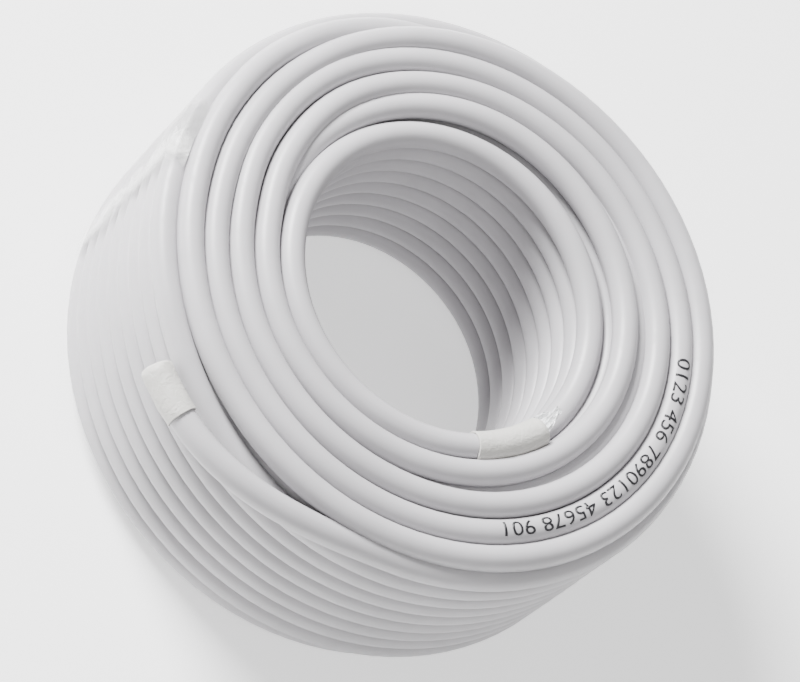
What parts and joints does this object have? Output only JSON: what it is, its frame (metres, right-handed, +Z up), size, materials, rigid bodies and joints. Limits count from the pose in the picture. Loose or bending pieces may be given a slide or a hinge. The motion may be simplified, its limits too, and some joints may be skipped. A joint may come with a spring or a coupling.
{
  "type": "coaxial cable coil",
  "caption": "Round machine-wound coil of white coaxial cable with capped ends, held by clear film around its outside.",
  "frame": {"origin": "centre of the coil's bore, on the floor that its lower end face rests on", "axes": "+Z up along the coil's axis; the loose outer end lies between -X and -Y"},
  "size_m": [0.1592, 0.1592, 0.0708],
  "materials": {
    "cable_jacket": "smooth white PVC jacket with a soft sheen",
    "end_caps": "slightly warmer white soft plastic",
    "clear_film": "clear glossy wrapping film"
  },
  "bodies": {
    "root": {"coax_cable": "cable_jacket", "outer_end_cap": "end_caps", "inner_end_cap": "end_caps", "shrink_film": "clear_film"}
  },
  "joints": []
}
